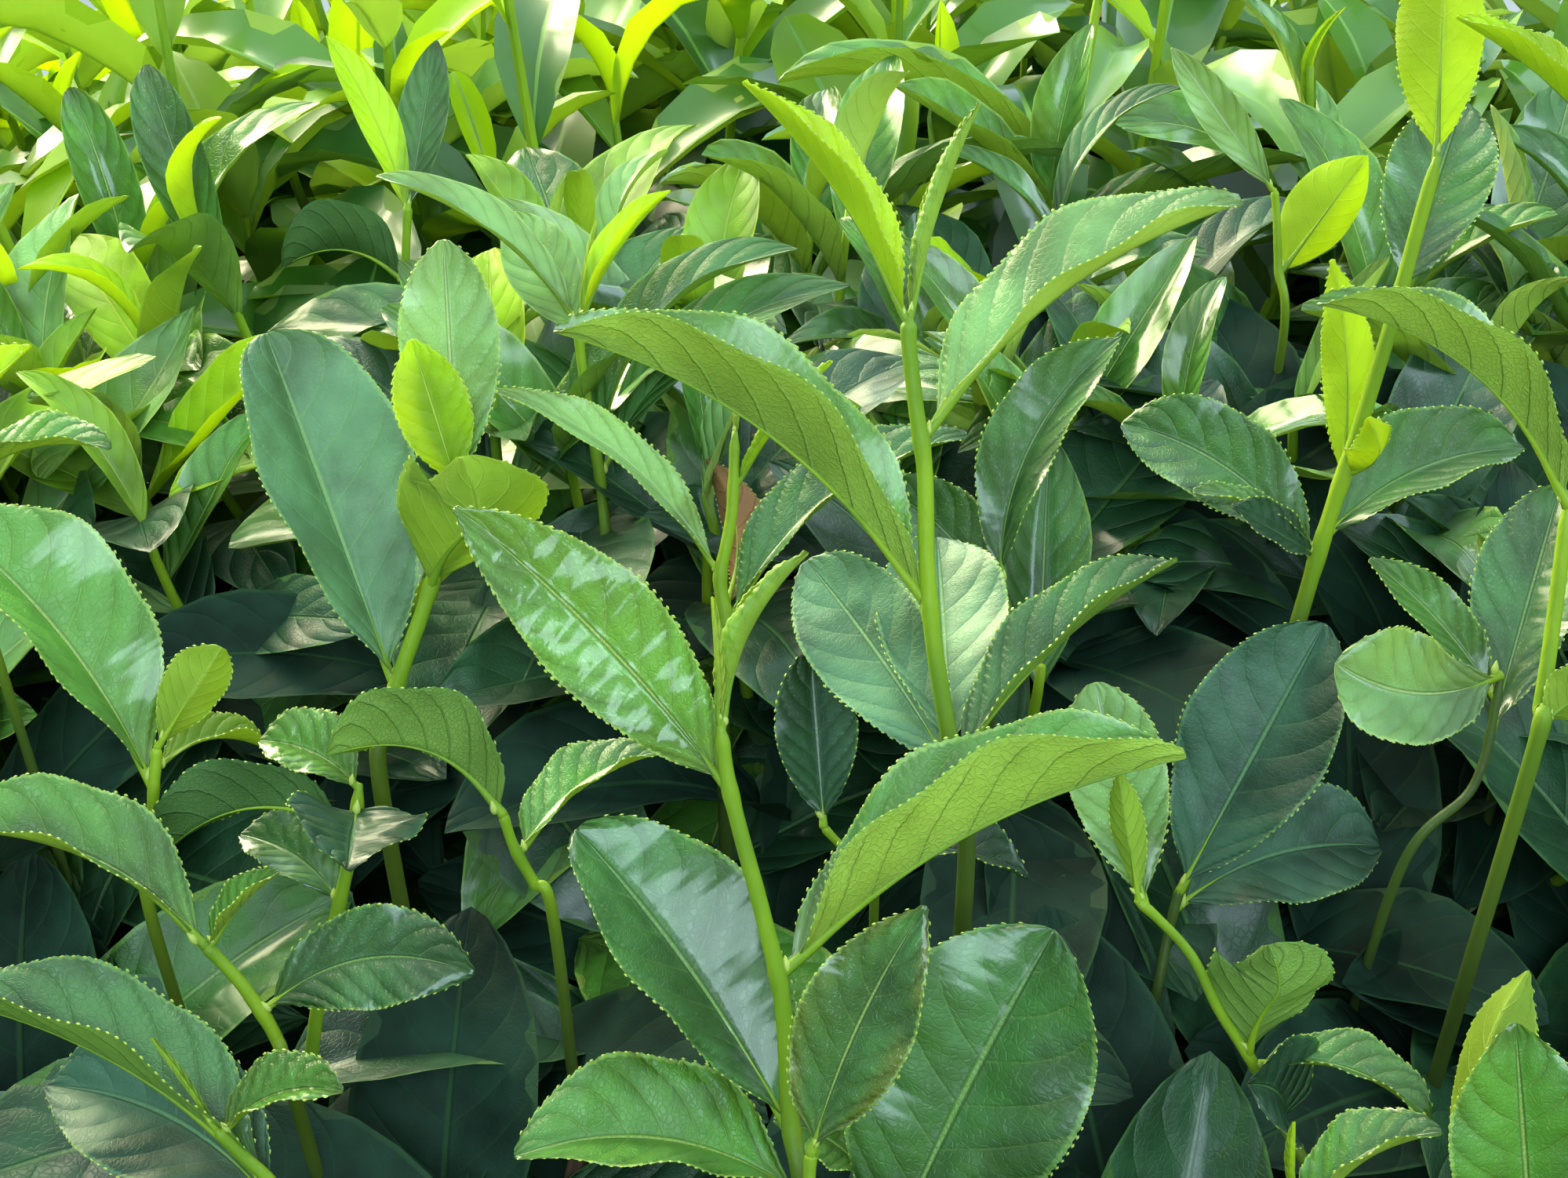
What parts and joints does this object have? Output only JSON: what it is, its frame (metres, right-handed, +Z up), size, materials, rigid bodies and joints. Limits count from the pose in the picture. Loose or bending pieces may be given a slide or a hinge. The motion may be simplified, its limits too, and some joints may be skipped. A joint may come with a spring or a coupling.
{
  "type": "tea bush",
  "caption": "Low, plucked tea bush on a short trunk: rising boughs, dense round masses of glossy leaves and young light green shoots standing out of its flat top.",
  "frame": {"origin": "where the trunk's axis meets the level ground, on the flat cut under the trunk", "axes": "+Z up; -Y is the side that the picture is taken from; +X is to the right of that view"},
  "size_m": [1.123, 1.0344, 0.7743],
  "materials": {
    "bark": "rough grey-brown bark with pale lichen flecks",
    "old_leaf": "leathery dark green leaves with a waxy sheen",
    "young_leaf": "soft light green shoots and leaves with a waxy sheen"
  },
  "bodies": {
    "root": {"trunk": "bark", "bough_centre": "bark", "bough_1": "bark", "bough_2": "bark", "bough_3": "bark", "bough_4": "bark", "bough_5": "bark", "bough_6": "bark", "bough_7": "bark", "bough_8": "bark", "mass_centre": "old_leaf", "mass_1": "old_leaf", "mass_2": "old_leaf", "mass_3": "old_leaf", "mass_4": "old_leaf", "mass_5": "old_leaf", "mass_6": "old_leaf", "mass_7": "old_leaf", "mass_8": "old_leaf", "shoot_front": "young_leaf", "shoot_front_side": "young_leaf", "shoot_front_low": "young_leaf", "shoot_tall": "young_leaf", "shoot_left": "young_leaf", "shoot_behind": "young_leaf", "shoot_back_left": "young_leaf", "shoot_far_left": "young_leaf", "shoot_right": "young_leaf", "shoot_right_edge": "young_leaf", "shoot_right_low": "young_leaf", "shoot_corner": "young_leaf", "shoot_corner_bud": "young_leaf", "shoot_left_mid": "young_leaf", "shoot_left_low": "young_leaf", "shoot_left_corner": "young_leaf", "shoot_fan": "young_leaf", "shoot_droop": "young_leaf", "shoot_low_middle": "young_leaf", "shoot_mid_right": "young_leaf", "shoot_upper_right": "young_leaf", "shoot_top_arch": "young_leaf", "shoot_old_right": "young_leaf", "shoot_sunlit": "young_leaf", "shoot_top_right": "young_leaf", "shoot_left_edge": "young_leaf"}
  },
  "joints": []
}
